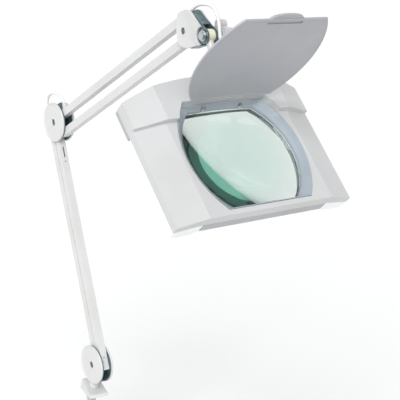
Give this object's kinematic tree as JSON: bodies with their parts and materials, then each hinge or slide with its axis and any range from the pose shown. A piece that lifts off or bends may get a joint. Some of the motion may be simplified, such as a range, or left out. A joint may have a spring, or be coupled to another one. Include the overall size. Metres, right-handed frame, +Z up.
{
  "type": "magnifying lamp",
  "caption": "Desk-clamp magnifying lamp: two parallelogram arms of square tube, tilting head with a rectangular lens between two lamps, and a hinged lens cover.",
  "frame": {"origin": "centre of the upper jaw pad's underside, where it rests on the desk, on the swivel axis", "axes": "+Z up along the swivel axis, +X from the clamp towards the lamp head in the arm plane, +Y along the arm pivots"},
  "size_m": [0.6665, 0.32, 0.8376],
  "materials": {
    "clamp_frame": "satin white paint",
    "swivel_bush": "ivory nylon",
    "clamp_cover": "satin white paint",
    "jaw_pad": "black rubber",
    "pressure_pad": "black rubber",
    "clamp_screw": "dark zinc plate",
    "tommy_bar": "dark zinc plate",
    "base_yoke": "dark zinc plate",
    "base_cover_near": "satin white paint",
    "base_cover_far": "satin white paint",
    "base_bolt": "dark zinc plate",
    "base_pin_front": "bright steel",
    "base_pin_rear": "bright steel",
    "lower_front_tube": "satin white paint",
    "lower_spring": "bright steel",
    "lower_rear_tube": "satin white paint",
    "upper_bottom_tube": "satin white paint",
    "upper_spring": "bright steel",
    "upper_top_tube": "satin white paint",
    "elbow_lead_gland": "moulded white plastic",
    "elbow_plate_near": "dark zinc plate",
    "elbow_cover_near": "satin white paint",
    "elbow_plate_far": "dark zinc plate",
    "elbow_cover_far": "satin white paint",
    "elbow_screw": "dark zinc plate",
    "elbow_pin_a": "bright steel",
    "elbow_pin_b": "bright steel",
    "elbow_pin_c": "bright steel",
    "elbow_pin_d": "bright steel",
    "elbow_lead": "white cable sheath",
    "end_fork": "dark zinc plate",
    "end_cover_near": "satin white paint",
    "end_cover_far": "satin white paint",
    "end_screw": "dark zinc plate",
    "end_pin_a": "bright steel",
    "end_pin_b": "bright steel",
    "tilt_bolt": "bright steel",
    "tension_knob": "moulded white plastic",
    "head_housing": "moulded white plastic",
    "lower_frame": "light grey moulded plastic",
    "lens": "clear ground glass",
    "lens_bezel": "light grey moulded plastic",
    "diffuser_left": "opal acrylic",
    "diffuser_right": "opal acrylic",
    "lamp_tube_left": "white phosphor-coated glass",
    "lamp_tube_right": "white phosphor-coated glass",
    "lamp_holder_left": "moulded white plastic",
    "lamp_holder_right": "moulded white plastic",
    "ballast": "black plastic",
    "switch_body": "black plastic",
    "switch_rocker": "black plastic",
    "knuckle_bush": "ivory nylon",
    "neck": "satin white paint",
    "neck_screw_left": "bright steel",
    "neck_screw_right": "bright steel",
    "head_lead_gland": "moulded white plastic",
    "lens_cover": "light grey moulded plastic",
    "cover_pin_left": "bright steel",
    "cover_pin_right": "bright steel",
    "head_lead": "white cable sheath"
  },
  "bodies": {
    "clamp": {"clamp_frame": "clamp_frame", "swivel_bush": "swivel_bush", "clamp_cover": "clamp_cover", "jaw_pad": "jaw_pad"},
    "pad": {"pressure_pad": "pressure_pad"},
    "screw": {"clamp_screw": "clamp_screw"},
    "bar": {"tommy_bar": "tommy_bar"},
    "base": {"base_yoke": "base_yoke", "base_cover_near": "base_cover_near", "base_cover_far": "base_cover_far", "base_bolt": "base_bolt", "base_pin_front": "base_pin_front", "base_pin_rear": "base_pin_rear"},
    "lower_front": {"lower_front_tube": "lower_front_tube", "lower_spring": "lower_spring"},
    "lower_rear": {"lower_rear_tube": "lower_rear_tube"},
    "elbow": {"elbow_plate_near": "elbow_plate_near", "elbow_cover_near": "elbow_cover_near", "elbow_plate_far": "elbow_plate_far", "elbow_cover_far": "elbow_cover_far", "elbow_screw": "elbow_screw", "elbow_pin_a": "elbow_pin_a", "elbow_pin_b": "elbow_pin_b", "elbow_pin_c": "elbow_pin_c", "elbow_pin_d": "elbow_pin_d", "elbow_lead": "elbow_lead"},
    "upper_bottom": {"upper_bottom_tube": "upper_bottom_tube", "upper_spring": "upper_spring"},
    "upper_top": {"upper_top_tube": "upper_top_tube", "elbow_lead_gland": "elbow_lead_gland"},
    "arm_end": {"end_fork": "end_fork", "end_cover_near": "end_cover_near", "end_cover_far": "end_cover_far", "end_screw": "end_screw", "end_pin_a": "end_pin_a", "end_pin_b": "end_pin_b", "tilt_bolt": "tilt_bolt", "head_lead": "head_lead"},
    "knob": {"tension_knob": "tension_knob"},
    "head": {"head_housing": "head_housing", "lower_frame": "lower_frame", "lens": "lens", "lens_bezel": "lens_bezel", "diffuser_left": "diffuser_left", "diffuser_right": "diffuser_right", "lamp_tube_left": "lamp_tube_left", "lamp_tube_right": "lamp_tube_right", "lamp_holder_left": "lamp_holder_left", "lamp_holder_right": "lamp_holder_right", "ballast": "ballast", "switch_body": "switch_body", "knuckle_bush": "knuckle_bush", "neck": "neck", "neck_screw_left": "neck_screw_left", "neck_screw_right": "neck_screw_right", "head_lead_gland": "head_lead_gland", "cover_pin_left": "cover_pin_left", "cover_pin_right": "cover_pin_right"},
    "cover": {"lens_cover": "lens_cover"},
    "rocker": {"switch_rocker": "switch_rocker"}
  },
  "joints": [
    {"name": "pad_slide", "type": "slide", "parent": "clamp", "child": "pad", "axis": [0, 0, 1], "range_m": [-0.015, 0.0245]},
    {"name": "screw_turn", "type": "hinge", "parent": "pad", "child": "screw", "pos_m": [0, 0, -0.07], "axis": [0, 0, 1], "range_deg": [-1860, 3000]},
    {"name": "bar_slide", "type": "slide", "parent": "screw", "child": "bar", "axis": [0.225, 0.9744, 0], "range_m": [-0.022, 0.022]},
    {"name": "base_swivel", "type": "hinge", "parent": "clamp", "child": "base", "pos_m": [0, 0, 0.015], "axis": [0, 0, 1], "continuous": true},
    {"name": "lower_arm", "type": "hinge", "parent": "base", "child": "lower_front", "pos_m": [0.0333, 0, 0.0702], "axis": [0, 1, 0], "range_deg": [-2, 64]},
    {"name": "lower_link", "type": "hinge", "parent": "base", "child": "lower_rear", "pos_m": [0.0144, 0, 0.0796], "axis": [0, 1, 0], "range_deg": [-2, 64]},
    {"name": "elbow_turn", "type": "hinge", "parent": "lower_front", "child": "elbow", "pos_m": [-0.10728, 0, 0.4808], "axis": [0, 1, 0], "range_deg": [-64, 2]},
    {"name": "upper_arm", "type": "hinge", "parent": "elbow", "child": "upper_bottom", "pos_m": [-0.08328, 0, 0.4758], "axis": [0, 1, 0], "range_deg": [-44, 46], "deforming": ["elbow_lead"]},
    {"name": "upper_link", "type": "hinge", "parent": "elbow", "child": "upper_top", "pos_m": [-0.09718, 0, 0.5041], "axis": [0, 1, 0], "range_deg": [-44, 46]},
    {"name": "arm_end_turn", "type": "hinge", "parent": "upper_bottom", "child": "arm_end", "pos_m": [0.30646, 0, 0.66673], "axis": [0, 1, 0], "range_deg": [-46, 44]},
    {"name": "head_tilt", "type": "hinge", "parent": "arm_end", "child": "head", "pos_m": [0.34286, 0, 0.66993], "axis": [0, 1, 0], "range_deg": [-95, 20], "deforming": ["head_lead"]},
    {"name": "knob_turn", "type": "hinge", "parent": "arm_end", "child": "knob", "pos_m": [0.34286, 0, 0.66993], "axis": [0, 1, 0], "range_deg": [-90, 90]},
    {"name": "cover_hinge", "type": "hinge", "parent": "head", "child": "cover", "pos_m": [0.38242, 0, 0.58801], "axis": [0, 1, 0], "range_deg": [-12, 92]},
    {"name": "switch_rock", "type": "hinge", "parent": "head", "child": "rocker", "pos_m": [0.3684, 0.066, 0.59992], "axis": [0, 1, 0], "range_deg": [-8, 8]}
  ],
  "couplings": [
    {"joint": "screw_turn", "follows": "pad_slide", "rad_per_m": 2094.4},
    {"joint": "lower_link", "follows": "lower_arm", "ratio": 1},
    {"joint": "elbow_turn", "follows": "lower_arm", "ratio": -1},
    {"joint": "upper_link", "follows": "upper_arm", "ratio": 1},
    {"joint": "arm_end_turn", "follows": "upper_arm", "ratio": -1}
  ]
}
